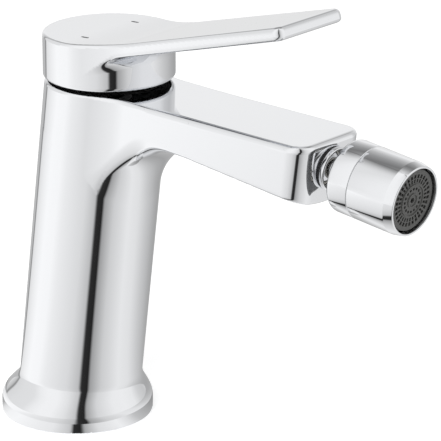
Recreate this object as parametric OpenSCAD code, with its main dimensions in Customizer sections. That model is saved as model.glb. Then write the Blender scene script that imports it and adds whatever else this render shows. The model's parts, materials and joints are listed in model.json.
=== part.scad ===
// Bidet mixer: a leaning one-piece body with a flat-topped spout, a paddle lever on a
// small ceramic-disc cartridge, and an aerator that swivels on a ball.
// Millimetres, +Z up, +X along the spout, origin at the centre of the foot on the deck.

/* [Foot] */
// Radius of the round foot
foot_r = 26.25; // [24.75:0.25:30]
// Height of the foot's upright edge
foot_edge_h = 5; // [4:0.5:6]
// Radius of the rounded shoulder above the edge
foot_shoulder_r = 7; // [6.5:0.5:9]
// Bevel round the foot's bottom edge
foot_bevel = 0.5; // [0.3:0.1:1]
// Outer radius of the gasket groove under the foot
gasket_outer_r = 22.5; // [21:0.5:23.5]
// Inner radius of the gasket groove
gasket_inner_r = 18; // [17:0.5:19.5]
// Depth of the gasket groove, which is also the gasket's thickness
gasket_h = 1.6; // [1:0.2:3]

/* [Column] */
// Radius of the column
column_r = 21.1; // [20.8:0.1:22]
// Forward lean of the column and spout, degrees
lean = 7.25; // [5:0.25:9]
// Height of the flat top above the foot's centre
top_z = 122.7; // [120:0.5:128]
// Slope of the flat top down towards the spout's end, degrees
top_slope = 1.15; // [0:0.05:2]

/* [Spout] */
// Width of the spout
spout_w = 32.2; // [30:0.2:34]
// Reach of the spout's front face from the column's axis
spout_reach = 97.1; // [85:0.5:115]
// Height of the spout's underside along the column's axis
spout_under_z = 112.3; // [110:0.1:114]
// How far the underside bulges in the middle
spout_crown = 2.8; // [2:0.1:3.5]
// Radius of the spout's upright front corners
spout_corner_r = 6; // [5:0.1:8]
// Radius of the blend from the spout's sides to the column
side_blend_r = 30; // [15:1:45]
// Radius of the blend from the spout's underside to the column
under_blend_r = 30; // [26:0.5:32]
// Height of the outlet's axis along the column's axis
outlet_z = 124.1; // [122:0.1:125.5]

/* [Waterways and fixing] */
// Wall radius of the threaded hole for the fixing stud
stud_hole_r = 3.5; // [3:0.1:4.2]
// Depth of the stud hole
stud_hole_h = 18; // [10:1:25]
// Wall radius of the two threaded hose inlets
inlet_r = 4.6; // [4:0.1:5.2]
// Depth of the hose inlets
inlet_h = 13; // [10:1:18]
// Distance of each hose inlet from the middle
inlet_y = 12; // [11:0.5:14]
// Radius of the channels in the casting
channel_r = 2.5; // [2:0.1:2.75]

/* [Cartridge] */
// Distance of the lever's upright axis in front of the foot's centre
axis_x = 16.4; // [16:0.1:17]
// Depth of the cartridge's seat below the flat top
seat_depth = 34.7; // [33.7:0.5:35.7]
// Radius of the cartridge
cartridge_r = 13.6; // [13.2:0.1:14]
// Wall of the cartridge housing
housing_wall = 1.5; // [1.2:0.1:2]
// Thickness of the cartridge base
base_h = 3.5; // [3:0.25:4]
// Thickness of each ceramic disc
disc_h = 2.25; // [2:0.25:2.5]
// Radius of the fixed ceramic disc
fixed_disc_r = 11.6; // [11:0.1:12]
// Radius of the moving ceramic disc and its carrier
moving_disc_r = 8.6; // [8:0.1:9]
// Height of the disc carrier
carrier_h = 3.2; // [3:0.1:3.6]
// Radius of the rotor's shaft
rotor_r = 8; // [7:0.25:8.5]
// Radius of the clamp nut
nut_r = 15.4; // [15:0.1:15.8]
// Height of the clamp nut
nut_h = 3.5; // [3:0.25:4]
// Depth of the pocket under the cap, from the body's flat top
pocket_h = 6.2; // [5.8:0.2:7]
// Thickness of the body's lip round the pocket
lip_t = 1.5; // [1.2:0.1:2]

/* [Lever] */
// Radius of the lever's cap
cap_r = 22.3; // [22.2:0.1:22.6]
// Height of the cap's lower edge above the flat top
cap_lift = 1.2; // [1:0.1:2.3]
// Height of the cap at its axis
cap_h = 15.6; // [15.3:0.1:18]
// Rise of the cap's top towards the lever, degrees
cap_tilt = 1.1; // [0:0.1:2]
// Wall of the cap's skirt
skirt_wall = 1.3; // [1.2:0.05:1.4]
// Wall of the cap's top
cap_top_wall = 2.2; // [1.8:0.1:2.6]
// Radius of the cap's rounded lower edge
cap_edge_r = 1.1; // [0.6:0.1:1.1]
// Width of the paddle lever where its sides would meet the cap's axis
lever_w = 37.9; // [34:0.1:40]
// Narrowing of each side of the lever towards its end, degrees
lever_taper = 1.7; // [1:0.1:3]
// Reach of the lever from the cap's axis
lever_reach = 86.5; // [70:0.5:100]
// Rise of the lever, degrees
lever_rise = 14.75; // [10:0.25:20]
// Thickness of the lever
lever_t = 4.6; // [3.5:0.1:5]
// Distance in front of the cap's axis where the lever's top leaves the cap's top
lever_start = 12.6; // [10:0.2:15]
// Radius of the lever's front corners
lever_corner_r = 2.8; // [2:0.1:5]
// Radius of the hollow neck between the cap and the lever
neck_r = 60; // [40:5:80]
// Depth of the lift pivot below the cap's lower edge
pivot_drop = 17; // [16:0.25:18]
// Radius of the pivot pin
pin_r = 1.2; // [1:0.05:1.4]
// Lift of the lever from closed to fully open, degrees
lift_max = 20; // [10:1:20]
// Distance of the marks in front of the cap's axis
mark_x = 0.6; // [-1:0.1:2]
// Half the distance between the hot and cold marks
mark_y = 12.5; // [8:0.5:16]
// Length of each mark
mark_l = 3.2; // [2.5:0.1:4]
// Width of each mark
mark_w = 1; // [0.7:0.1:1.3]

/* [Swivel aerator] */
// Radius of the swivel's ball
ball_r = 7; // [6.6:0.1:7.2]
// Distance of the ball's centre from the spout's front face
ball_x = 11; // [10.5:0.25:12]
// Radius of the nipple's neck behind the ball
neck_stem_r = 4; // [3.5:0.1:4.3]
// Radius of the nipple's flange
nipple_flange_r = 7.5; // [6.5:0.1:9]
// Thickness of the nipple's flange
nipple_flange_h = 1.8; // [1.4:0.1:2.2]
// Radius of the nipple's threaded end
nipple_thread_r = 5; // [4.4:0.1:5.4]
// Length of the nipple's threaded end
nipple_thread_h = 9; // [7:0.5:12]
// Radius of the water way through the nipple
nipple_bore_r = 2.2; // [1.5:0.1:2.6]
// Thickness of the nipple's washer
washer_h = 0.6; // [0.4:0.1:1]
// Radius of the collar and the aerator sleeve
sleeve_r = 12.3; // [12:0.1:13]
// Distance of the collar's back edge from the front face
collar_x = 7.1; // [6.9:0.1:7.4]
// Distance of the seam between collar and sleeve from the front face
seam_x = 15.7; // [15.4:0.1:17]
// Distance of the aerator's front rim from the front face
aerator_x = 34; // [33:0.25:36]
// Radius of the aerator insert
insert_r = 10.7; // [10.3:0.1:11]
// How far the grille sits behind the sleeve's rim
grille_inset = 1.1; // [0.8:0.1:1.5]
// Thickness of the grille
grille_h = 1.4; // [1:0.1:2]
// Number of slots in each outer ring of the grille
slot_count = 30; // [24:3:39]

/* [Fits] */
// Running clearance of shafts and pins, on the radius
run_gap = 0.05; // [0.03:0.01:0.1]
// Clearance between moving pieces
move_gap = 0.3; // [0.2:0.05:0.4]
// Clearance between fixed pieces
seat_gap = 0.05; // [0.02:0.01:0.1]
// Clearance of the ball in its cup
ball_gap = 0.15; // [0.1:0.01:0.2]

/* [Hidden] */
$fn = 72;
chrome = "gainsboro";
black = "#202022";
rubber = "#2b2b2b";
ceramic = "#e8e4dc";
grey_plastic = "#5a5a58";
nylon = "#d9d6cc";
// Cuts run past the faces they open by this much
over = 1;
// Blends bite this far into what they meet, so that no two faces only touch
bite = 0.03;
// Reach of the half spaces that trim the casting and the lever
far = 300;

// Column and spout, in the leaning frame
spout_half = spout_w / 2;
crown_r = (spout_half * spout_half + spout_crown * spout_crown) / (2 * spout_crown);
column_bottom = -(foot_r * sin(lean) + over);
column_top = top_z + column_r;
seat_z = top_z - seat_depth;
cap_z = top_z + cap_lift;
under_blend_z = spout_under_z + spout_crown + 0.2 - under_blend_r;
inlet_top = inlet_h + channel_r;

// Cartridge stack, upwards from its seat
base_top = seat_z + base_h;
fixed_disc_top = base_top + disc_h;
moving_disc_top = fixed_disc_top + disc_h;
carrier_top = moving_disc_top + carrier_h;
pocket_floor = top_z - pocket_h - axis_x * tan(top_slope);
bore_r = cartridge_r + seat_gap;
housing_in_r = cartridge_r - housing_wall;
housing_neck_r = cartridge_r - housing_wall / 2;
housing_shoulder = pocket_floor - nut_h;
flange_low = carrier_top + move_gap;
flange_h = 1;
flange_top = flange_low + flange_h;
housing_lid = flange_top + move_gap;
housing_lid_h = 2;
lid_top = housing_lid + housing_lid_h;
housing_top = pocket_floor + 0.5;
o_ring_h = 0.9;
o_ring_t = 0.9;
limit_z = lid_top + move_gap;
limit_h = 2;
limit_r = housing_in_r - 0.6;
limit_teeth = 40;
// The black ring under the cap stands clear of the skirt and below the body's flat top
cover_r = pocket_r() - 0.5;
cover_top = top_z - 1;
cover_teeth = 90;

// Lift pivot and the lever's stem
pivot_z = cap_z - pivot_drop;
ear_r = 2.6;
blade_w = 5;
blade_t = 4;
finger_r = 2.4;
finger_z = carrier_top - finger_r / 2;
lift_arm = pivot_z - finger_z;
// The closed disc stands half its travel behind the axis and ends as far in front
disc_travel = lift_arm * sin(lift_max);
disc_x = -disc_travel / 2;
block_z = cap_z + 4.5;
cap_ceiling = cap_z + cap_h - cap_top_wall;
block_h = cap_ceiling - block_z;
block_w = 8;
boss_r = block_w / 2 + 3.8;
skirt_in_r = cap_r - skirt_wall;
// The skirt's lower ring turns on a ball about the pivot, and all that is fixed stays inside that ball
skirt_ball_r = norm([skirt_in_r, pivot_drop]);
screw_r = 1.1;
screw_z = block_z + block_h / 2;
screw_l = 3.6;
plug_r = 2;
plug_h = 0.9;

// Lever in its own rising frame
lever_half = lever_w / 2;
lever_run = (lever_reach - lever_start) / cos(lever_rise);
lever_origin_z = cap_z + cap_h + lever_start * tan(cap_tilt);

// Swivel, measured along the outlet's axis from the front face
cup_in_r = ball_r + ball_gap;
cup_t = 0.75;
cup_out_r = cup_in_r + cup_t;
socket_r = cup_out_r + ball_gap;
socket_end = ball_x + 1.2;
swivel_max = 15;
spigot_r = 10.4;
spigot_l = 1.8;
spigot_x = seam_x - spigot_l;
sleeve_wall_r = insert_r + 0.25;
seal_x = seam_x + 3.5;
seal_t = 1.8;
regulator_h = 3;
mesh_h = 0.8;
insert_x = seal_x + seal_t + regulator_h + mesh_h;
grille_x = aerator_x - grille_inset - grille_h;
mouth_r = 6;

function pocket_r() = column_r - lip_t;
function column_x(z) = z * tan(lean);

// Frames
module leaning() rotate([0, lean, 0]) children();
module lever_axis() translate([axis_x, 0, 0]) children();
module outlet() leaning() translate([spout_reach, 0, outlet_z]) rotate([0, 90, 0]) children();

// Basic shapes
module disc(r, z, h) translate([0, 0, z]) cylinder(r = r, h = h);
module tube(r, hole, z, h) difference() {
    disc(r, z, h);
    disc(hole, z - over, h + 2 * over);
}
// A round hole or rod from one point to another
module rod(from, to, r) {
    run = to - from;
    translate(from)
        rotate([0, acos(run[2] / norm(run)), atan2(run[1], run[0])])
            cylinder(r = r, h = norm(run));
}
module around(count) for (i = [0 : count - 1]) rotate([0, 0, 360 * i / count]) children();
// A web that rounds the corner between a disc and a flank parallel to X
module corner_web(r, flank, web_r, taper = 0) {
    centre_y = flank + web_r - bite;
    reach = r + web_r - bite;
    centre_x = sqrt(reach * reach - centre_y * centre_y);
    for (side = [-1, 1]) rotate([0, 0, -side * taper]) difference() {
        polygon([[0, 0], [centre_x, 0], [centre_x, side * centre_y]]);
        translate([centre_x, side * centre_y]) circle(r = web_r, $fn = 180);
    }
}
// A flat tongue from the axis to its rounded end, its sides drawn in by the taper's angle
module tongue(length, half, corner, taper = 0) {
    centre = [length - corner, half - (length - corner) * tan(taper) - corner / cos(taper)];
    edge = centre + corner * [sin(taper), cos(taper)];
    polygon([
        [0, -half], [edge.x, -edge.y], [length, -centre.y],
        [length, centre.y], [edge.x, edge.y], [0, half]
    ]);
    for (side = [-1, 1]) translate([centre.x, side * centre.y]) circle(r = corner);
}

// Foot and body
module foot() rotate_extrude($fn = 180) {
    polygon([[0, 0], [foot_r - foot_bevel, 0], [foot_r, foot_bevel], [foot_r, foot_edge_h], [0, foot_edge_h]]);
    intersection() {
        translate([foot_r - foot_shoulder_r, foot_edge_h]) circle(r = foot_shoulder_r);
        translate([0, foot_edge_h - over]) square([foot_r, foot_shoulder_r + over]);
    }
    translate([0, foot_edge_h - over])
        square([foot_r - foot_shoulder_r, foot_shoulder_r + over - bite]);
}
module spout_outline(core_r) {
    circle(r = core_r);
    tongue(spout_reach, spout_half, spout_corner_r);
    corner_web(column_r, spout_half, side_blend_r);
}
module spout_block() intersection() {
    translate([0, 0, spout_under_z - over])
        linear_extrude(column_top + spout_reach * sin(lean) - spout_under_z)
            spout_outline(column_r - 1);
    translate([-column_r - over, 0, spout_under_z + crown_r])
        rotate([0, 90, 0]) cylinder(r = crown_r, h = spout_reach + column_r + 2 * over, $fn = 180);
}
module under_blend() intersection() {
    translate([0, 0, under_blend_z])
        linear_extrude(spout_under_z + spout_crown + over - under_blend_z)
            spout_outline(column_r - 1);
    translate([0, 0, under_blend_z]) rotate_extrude($fn = 180) difference() {
        square([column_r + under_blend_r - bite, under_blend_r + spout_crown]);
        translate([column_r + under_blend_r - bite, 0]) circle(r = under_blend_r, $fn = 180);
    }
}
module above_top() translate([0, 0, top_z]) rotate([0, top_slope, 0])
    translate([-far / 2, -far / 2, 0]) cube(far);
module inlet_way(side) {
    translate([0, side * inlet_y, -over]) cylinder(r = inlet_r, h = inlet_h + over);
    rod([0, side * inlet_y, inlet_h - over], [axis_x, side * port_y, seat_z + over], channel_r);
}
port_y = 6.2;
port_r = 2.4;
riser_x = axis_x + cartridge_r - 1.2;
spout_way_z = 110.5;
module waterways() {
    for (side = [-1, 1]) inlet_way(side);
    // Mixed water leaves the cartridge's front window, rises in front of it and runs along the spout
    translate([riser_x, 0, seat_z + 0.5]) cylinder(r = channel_r, h = spout_way_z - seat_z);
    rod([riser_x, 0, spout_way_z], [spout_reach + 8, 0, spout_way_z], channel_r);
    outlet() disc(nipple_thread_r + seat_gap, -nipple_thread_h - move_gap, nipple_thread_h + move_gap + over);
}
module cartridge_room() lever_axis() {
    disc(bore_r, seat_z, pocket_floor - seat_z + over);
    disc(nut_r + seat_gap, housing_shoulder, nut_h + over);
}
// Rear rim, bevelled so that the skirt passes it when the lever lifts
module rim_relief() difference() {
    translate([axis_x - far, -far / 2, top_z - column_r / 4]) cube([far, far, far]);
    lever_axis() translate([0, 0, pivot_z]) sphere(r = skirt_ball_r - move_gap - seat_gap, $fn = 180);
}
module pocket() translate([column_x(top_z), 0, pocket_floor]) cylinder(r = pocket_r(), h = pocket_h + 3 * over);
module body() color(chrome) difference() {
    union() {
        foot();
        leaning() {
            disc(column_r, column_bottom, column_top - column_bottom);
            spout_block();
            under_blend();
        }
    }
    above_top();
    translate([-far / 2, -far / 2, -far]) cube(far);
    translate([0, 0, -over]) tube(gasket_outer_r, gasket_inner_r, 0, gasket_h + over);
    translate([0, 0, -over]) cylinder(r = stud_hole_r, h = stud_hole_h + over);
    waterways();
    cartridge_room();
    pocket();
    rim_relief();
}
module base_gasket() color(rubber) tube(gasket_outer_r - seat_gap, gasket_inner_r + seat_gap, 0, gasket_h);

// Fixed pieces of the cartridge
seal_groove_r = 3.9;
seal_groove_h = 1;
module cartridge_base() color(black) lever_axis() difference() {
    disc(cartridge_r, seat_z, base_h);
    for (side = [-1, 1]) translate([0, side * port_y, seat_z - over]) {
        cylinder(r = port_r, h = base_h + 2 * over);
        cylinder(r = seal_groove_r, h = seal_groove_h + over);
    }
    // Window for the mixed water, from the middle to the front
    rod([0, 0, seat_z + base_h / 2], [cartridge_r + over, 0, seat_z + base_h / 2], base_h / 2 - 0.6);
    disc(port_r, seat_z + base_h / 2, base_h);
}
module port_seals() color(rubber) lever_axis()
    for (side = [-1, 1]) translate([0, side * port_y, 0])
        tube(seal_groove_r - seat_gap, port_r + 0.2, seat_z, seal_groove_h);
module fixed_disc() color(ceramic) lever_axis() difference() {
    disc(fixed_disc_r, base_top, disc_h);
    for (side = [-1, 1]) translate([0, side * port_y, base_top - over]) cylinder(r = port_r, h = disc_h + 2 * over);
    disc(port_r, base_top - over, disc_h + 2 * over);
}
module cartridge_housing() color(nylon) lever_axis() difference() {
    union() {
        disc(cartridge_r, base_top, housing_shoulder - base_top);
        disc(housing_neck_r, base_top, housing_top - base_top);
    }
    disc(housing_in_r, base_top - over, housing_lid - base_top + over);
    disc(rotor_r + run_gap, housing_lid - over, housing_lid_h + 2 * over);
    disc(housing_in_r, lid_top, far);
}
nut_slot_w = 3;
module clamp_nut() color("#c9b27a") lever_axis() difference() {
    tube(nut_r, housing_neck_r + seat_gap, housing_shoulder, nut_h);
    // Key slots in the upper face
    around(6) translate([housing_neck_r - over, -nut_slot_w / 2, pocket_floor - nut_h / 2])
        cube([nut_r, nut_slot_w, nut_h]);
}
module cover_ring() color(black) difference() {
    translate([column_x(top_z), 0, 0]) difference() {
        disc(cover_r, pocket_floor, cover_top - pocket_floor);
        // Fine teeth round the edge
        around(cover_teeth) translate([cover_r, 0, pocket_floor - over]) cylinder(r = 0.35, h = pocket_h + over, $fn = 16);
    }
    lever_axis() disc(housing_neck_r + move_gap, pocket_floor - over, pocket_h + 2 * over);
}

// Rotor group: turns with the lever about the upright axis
slot_back = -blade_t / 2 - move_gap - ear_r * sin(lift_max);
// The slot clears the blade's lower end and the finger at full lift
slot_front = max(blade_t / 2 + (pivot_z - flange_low) * sin(lift_max), disc_travel + finger_r) + move_gap;
module stem_rotor() color(nylon) lever_axis() difference() {
    union() {
        disc(rotor_r, flange_low, limit_z + limit_h - flange_low);
        disc(housing_in_r - move_gap, flange_low, flange_h);
        // Two ears that carry the pivot pin
        intersection() {
            disc(rotor_r, flange_low, far);
            union() {
                translate([-ear_r, -rotor_r, limit_z]) cube([2 * ear_r, 2 * rotor_r, pivot_z - limit_z]);
                translate([0, rotor_r, pivot_z]) rotate([90, 0, 0]) cylinder(r = ear_r, h = 2 * rotor_r);
            }
        }
    }
    translate([slot_back, -blade_w / 2 - move_gap / 2, flange_low - over])
        cube([slot_front - slot_back, blade_w + move_gap, far]);
    translate([0, rotor_r + over, pivot_z]) rotate([90, 0, 0])
        cylinder(r = pin_r + seat_gap, h = 2 * (rotor_r + over));
    // Groove for the O-ring
    tube(rotor_r + over, rotor_r - o_ring_t, housing_lid + housing_lid_h / 2 - o_ring_h / 2 - seat_gap,
        o_ring_h + 2 * seat_gap);
}
module pivot_pin() color("silver") lever_axis() translate([0, rotor_r - 1, pivot_z]) rotate([90, 0, 0])
    cylinder(r = pin_r, h = 2 * (rotor_r - 1));
module limit_ring() color(black) lever_axis() difference() {
    disc(limit_r, limit_z, limit_h);
    disc(rotor_r + seat_gap, limit_z - over, limit_h + 2 * over);
    // Fine teeth round the edge
    around(limit_teeth) translate([limit_r, 0, limit_z - over]) cylinder(r = 0.45, h = limit_h + 2 * over, $fn = 24);
}
module rotor_o_ring() color(rubber) lever_axis()
    tube(rotor_r, rotor_r - o_ring_t + seat_gap, housing_lid + housing_lid_h / 2 - o_ring_h / 2, o_ring_h);

// Disc group: slides in the rotor as the lever lifts
module disc_carrier() color(nylon) lever_axis() difference() {
    translate([disc_x, 0, 0]) disc(moving_disc_r, moving_disc_top, carrier_h);
    // Pocket for the stem's finger
    translate([-finger_r - run_gap, -finger_r - move_gap, moving_disc_top - over])
        cube([2 * (finger_r + run_gap), 2 * (finger_r + move_gap), carrier_h + 2 * over]);
}
module moving_disc() color(ceramic) lever_axis() translate([disc_x, 0, 0]) difference() {
    disc(moving_disc_r, fixed_disc_top, disc_h);
    disc(moving_disc_r - 3, fixed_disc_top - over, disc_h / 2 + over);
}

// Lever group: lifts about the pivot pin
module control_stem() color("silver") lever_axis() difference() {
    union() {
        intersection() {
            translate([0, 0, finger_z]) sphere(r = finger_r);
            translate([-far / 2, -far / 2, finger_z - finger_r + 0.8]) cube(far);
        }
        disc(finger_r - 0.8, finger_z, flange_low + over - finger_z);
        translate([-blade_t / 2, -blade_w / 2, flange_low]) cube([blade_t, blade_w, block_z + over - flange_low]);
        translate([-block_w / 2, -block_w / 2, block_z]) cube([block_w, block_w, block_h]);
    }
    translate([0, rotor_r, pivot_z]) rotate([90, 0, 0]) cylinder(r = pin_r + run_gap, h = 2 * rotor_r);
}
module cap_blank(r, floor_z) intersection() {
    translate([0, 0, floor_z]) cylinder(r = r, h = far, $fn = 180);
    translate([0, 0, cap_z + cap_h]) rotate([0, -cap_tilt, 0]) translate([-far / 2, -far / 2, -far]) cube(far);
}
module rounded_lower_edge() rotate_extrude($fn = 180) {
    translate([0, cap_z]) square([cap_r - cap_edge_r, far]);
    translate([cap_r - cap_edge_r - bite, cap_z + cap_edge_r]) square([cap_edge_r + bite, far]);
    translate([cap_r - cap_edge_r, cap_z + cap_edge_r]) circle(r = cap_edge_r);
}
module lever_blade() translate([lever_start, 0, lever_origin_z]) rotate([0, -lever_rise, 0])
    translate([0, 0, -lever_t]) linear_extrude(lever_t)
        translate([-lever_start, 0]) {
            tongue(lever_run + lever_start, lever_half, lever_corner_r, lever_taper);
            corner_web(cap_r, lever_half * cos(lever_taper), neck_r, lever_taper);
        }
module ahead_of_cap() translate([0, -far / 2, cap_z]) cube(far);
module screw_axis() translate([0, 0, screw_z]) rotate([0, -90, 0]) children();
module lever_handle() color(chrome) lever_axis() difference() {
    union() {
        intersection() {
            cap_blank(cap_r, cap_z);
            rounded_lower_edge();
        }
        intersection() {
            lever_blade();
            ahead_of_cap();
        }
    }
    difference() {
        disc(skirt_in_r, cap_z - over, cap_ceiling - cap_z + over);
        // Boss that grips the stem's block
        disc(boss_r, block_z, far);
    }
    translate([-block_w / 2 - seat_gap, -block_w / 2 - seat_gap, block_z - over])
        cube([block_w + 2 * seat_gap, block_w + 2 * seat_gap, block_h + over]);
    screw_axis() {
        disc(screw_r + seat_gap, 0, cap_r + over);
        disc(plug_r + seat_gap, skirt_in_r - over, skirt_wall + 2 * over);
    }
    for (side = [-1, 1]) mark_shape(side, seat_gap);
}
module grub_screw() color("silver") lever_axis() screw_axis() difference() {
    disc(screw_r, block_w / 2, screw_l);
    translate([0, 0, block_w / 2 + screw_l - 1]) cylinder(r = screw_r * 0.6, h = 1 + over, $fn = 6);
}
module screw_plug() color(grey_plastic) lever_axis() screw_axis() disc(plug_r, skirt_in_r + 0.3, plug_h);
mark_depth = 0.6;
module mark_shape(side, gap) translate([0, 0, cap_z + cap_h]) rotate([0, -cap_tilt, 0])
    translate([mark_x - mark_l / 2 - gap, side * mark_y - mark_w / 2 - gap, -mark_depth])
        cube([mark_l + 2 * gap, mark_w + 2 * gap, mark_depth + (gap > 0 ? over : 0)]);
module hot_mark() color("#4c4c4e") lever_axis() mark_shape(1, 0);
module cold_mark() color("#4c4c4e") lever_axis() mark_shape(-1, 0);

// Outlet nipple and the swivel
module outlet_nipple() color(chrome) outlet() difference() {
    union() {
        disc(nipple_thread_r, -nipple_thread_h, nipple_thread_h + washer_h);
        disc(nipple_flange_r, washer_h, nipple_flange_h);
        disc(neck_stem_r, washer_h, ball_x - washer_h);
        intersection() {
            translate([0, 0, ball_x]) sphere(r = ball_r);
            disc(ball_r + over, ball_x - ball_r, 2 * ball_r - 1.4);
        }
    }
    disc(nipple_bore_r, -nipple_thread_h - over, nipple_thread_h + ball_x + ball_r + 2 * over);
}
module nipple_washer() color(rubber) outlet() tube(nipple_flange_r - 0.4, nipple_thread_r + seat_gap, 0, washer_h);
// A ring of a ball's shell between two planes across the outlet's axis
module ball_band(inner, outer, low, high) intersection() {
    difference() {
        translate([0, 0, ball_x]) sphere(r = outer);
        translate([0, 0, ball_x]) sphere(r = inner);
    }
    disc(outer + over, ball_x + low, high - low);
}
cup_low = -3.4;
// At full tilt the cup's rim still stops short of the gasket
cup_high = cup_out_r * sin(asin((socket_end - ball_x - move_gap / 2) / cup_out_r) - swivel_max);
module ball_cup() color(nylon) outlet() ball_band(cup_in_r, cup_out_r, cup_low, cup_high);
module ball_gasket() color(rubber) outlet() difference() {
    disc(spigot_r - 1, socket_end + move_gap / 2, spigot_x - socket_end - move_gap);
    translate([0, 0, ball_x]) sphere(r = ball_r + ball_gap);
}
module swivel_collar() color(chrome) outlet() difference() {
    rotate_extrude($fn = 180) {
        translate([0, collar_x]) square([sleeve_r - 2, seam_x - collar_x]);
        translate([0, collar_x + 2]) square([sleeve_r, seam_x - collar_x - 2]);
        translate([sleeve_r - 2, collar_x + 2]) circle(r = 2);
    }
    translate([0, 0, ball_x]) sphere(r = socket_r);
    disc(socket_r, ball_x, 2);
    disc(spigot_r + seat_gap, socket_end, seam_x);
}
module aerator_sleeve() color(chrome) outlet() difference() {
    union() {
        // The front is drawn in to a thin rim
        rotate_extrude($fn = 180) polygon([
            [0, seam_x + seat_gap], [sleeve_r, seam_x + seat_gap], [sleeve_r, aerator_x - 4],
            [sleeve_wall_r + 0.5, aerator_x], [0, aerator_x]
        ]);
        disc(spigot_r, spigot_x, spigot_l + over);
    }
    disc(mouth_r, spigot_x - over, aerator_x);
    disc(sleeve_wall_r, seal_x, aerator_x);
    translate([0, 0, ball_x]) sphere(r = ball_r + move_gap);
}
module aerator_seal() color(rubber) outlet() tube(insert_r, mouth_r, seal_x, seal_t);
module flow_regulator() color("#3f6f9f") outlet() {
    tube(insert_r - 0.1, insert_r - 2.5, seal_x + seal_t, regulator_h);
    // Spokes and hub that the water runs between
    disc(2.5, seal_x + seal_t, regulator_h);
    around(6) translate([0, -0.6, seal_x + seal_t]) cube([insert_r - 1, 1.2, regulator_h]);
}
module mesh_screen() color("silver") outlet() difference() {
    disc(insert_r - 0.1, insert_x - mesh_h, mesh_h);
    for (ring = [1 : 3]) around(6 * ring)
        translate([ring * 2.6, 0, insert_x - mesh_h - over]) cylinder(r = 0.7, h = mesh_h + 2 * over, $fn = 16);
}
module aerator_insert() color(black) outlet()
    tube(insert_r - 0.1, insert_r - 1.4, insert_x, grille_x - insert_x);
slot_l = 1.25;
slot_rings = [[7.5, 1.05], [6, 0.75]];
hole_rings = [[16, 3.9, 0.5], [1, 0, 0.9]];
ridge_rings = [5.55, 2.4];
ridge_w = 0.4;
ridge_h = 0.3;
module aerator_grille() color(grey_plastic) outlet() {
    difference() {
        disc(insert_r - 0.55, grille_x, grille_h);
        for (ring = slot_rings) around(slot_count)
            translate([ring[0], -ring[1] / 2, grille_x - over]) cube([slot_l, ring[1], grille_h + 2 * over]);
        for (ring = hole_rings) around(ring[0])
            translate([ring[1], 0, grille_x - over]) cylinder(r = ring[2], h = grille_h + 2 * over, $fn = 24);
    }
    for (ring = ridge_rings) tube(ring, ring - ridge_w, grille_x + grille_h - over, ridge_h + over);
}

body();
base_gasket();
cartridge_base();
port_seals();
fixed_disc();
cartridge_housing();
clamp_nut();
cover_ring();
outlet_nipple();
nipple_washer();
stem_rotor();
pivot_pin();
limit_ring();
rotor_o_ring();
disc_carrier();
moving_disc();
control_stem();
lever_handle();
grub_screw();
screw_plug();
hot_mark();
cold_mark();
ball_cup();
ball_gasket();
swivel_collar();
aerator_sleeve();
aerator_seal();
flow_regulator();
mesh_screen();
aerator_insert();
aerator_grille();
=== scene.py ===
"""Looks of the bidet mixer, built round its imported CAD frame.

The chromed castings are made as smooth skins: each is one function that is negative inside the
casting, with the fillets and rounded edges that a polished casting has. The turned pieces are
lathed from their profiles. The object's sizes are in millimetres and become metres where a mesh
is made. The room's sizes are in metres.
"""

import json
import math

import bmesh
import bpy
import numpy as np
from mathutils import Matrix, Vector


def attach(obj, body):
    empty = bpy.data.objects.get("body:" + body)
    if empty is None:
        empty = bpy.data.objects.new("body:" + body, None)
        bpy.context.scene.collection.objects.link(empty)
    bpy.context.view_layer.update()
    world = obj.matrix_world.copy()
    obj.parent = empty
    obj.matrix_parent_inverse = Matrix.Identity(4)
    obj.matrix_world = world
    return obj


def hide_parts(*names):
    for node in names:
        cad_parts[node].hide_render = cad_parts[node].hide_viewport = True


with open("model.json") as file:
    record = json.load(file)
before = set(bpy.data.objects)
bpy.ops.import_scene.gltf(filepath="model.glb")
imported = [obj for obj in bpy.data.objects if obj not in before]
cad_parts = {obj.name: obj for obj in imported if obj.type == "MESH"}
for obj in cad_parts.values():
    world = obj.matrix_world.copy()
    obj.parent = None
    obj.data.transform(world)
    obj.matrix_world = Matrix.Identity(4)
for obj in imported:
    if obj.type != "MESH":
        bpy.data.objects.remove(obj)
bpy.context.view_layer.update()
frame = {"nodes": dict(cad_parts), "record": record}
nodes = frame["nodes"]

MM = 0.001

# Column, spout and foot
LEAN = math.radians(7.25)
COLUMN_R = 21.1
TOP_Z = 122.7
TOP_SLOPE = math.radians(1.15)
TOP_EDGE_R = 1.0
SPOUT_TOP_EDGE_R = 1.9
SPOUT_HALF = 16.1
SPOUT_REACH = 97.1
SPOUT_CORNER_R = 7.0
SPOUT_EDGE_R = 0.9
SOFT_EDGE_R = 5.0
SOFT_EDGE_AT = 29.0
SOFT_EDGE_SPAN = 9.0
SIDE_BLEND_R = 30.0
UNDER_Z = 112.3
CROWN_RISE = 2.8
UNDER_BLEND_R = 27.5
UNDER_BLEND_SIDE_R = 23.0
CROWN_STARTS = 24.0
CROWN_FULL = 50.0
FOOT_R = 26.23
FOOT_EDGE_H = 4.4
FOOT_SHOULDER_R = 7.0
FOOT_BOTTOM_R = 0.5
FOOT_FILLET_R = 4.5

# Rooms and bores in the body
POCKET_R = 19.6
POCKET_FLOOR = 116.2
NUT_ROOM_R = 15.45
NUT_ROOM_FLOOR = 112.6
CARTRIDGE_ROOM_R = 13.65
CARTRIDGE_ROOM_FLOOR = 88.0
STUD_HOLE_R = 3.5
STUD_HOLE_TOP = 18.0
INLET_R = 4.6
INLET_TOP = 13.0
INLET_Y = 12.0
GROOVE_IN_R = 18.0
GROOVE_OUT_R = 22.5
GROOVE_TOP = 1.6
NIPPLE_HOLE_R = 5.05
NIPPLE_HOLE_DEPTH = 9.3
# A cutter stands this far out of the face that it opens
CLEAR = 2.0
# Faces deeper than this under a casting's skin were cut
CUT_DEPTH = 0.5

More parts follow.
